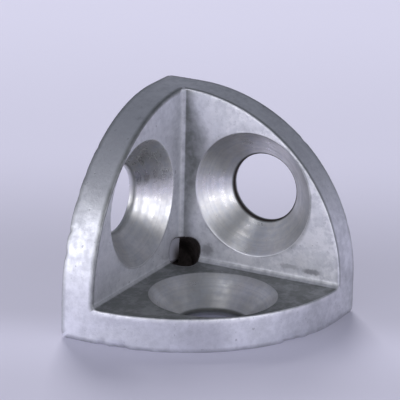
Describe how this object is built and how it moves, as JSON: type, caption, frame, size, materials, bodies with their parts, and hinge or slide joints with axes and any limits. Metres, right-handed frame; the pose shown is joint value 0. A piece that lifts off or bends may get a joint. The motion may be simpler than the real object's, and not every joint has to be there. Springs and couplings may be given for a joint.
{
  "type": "three way corner connector",
  "caption": "Cast metal corner connector with square-set quarter-round plates, each with a wide countersunk screw hole, and a small peg hole in the inner corner.",
  "frame": {"origin": "the outer corner point where the planes of the mating faces meet", "axes": "+X, +Y and +Z run along the edges of the plates, into the open side of the corner; the profiles leave along -X, -Y and -Z, and the part rests on its -Z mating face"},
  "size_m": [0.04, 0.04, 0.04],
  "materials": {
    "cast_metal": "satin raw die-casting with machined countersinks"
  },
  "bodies": {
    "root": {"connector_body": "cast_metal"}
  },
  "joints": []
}
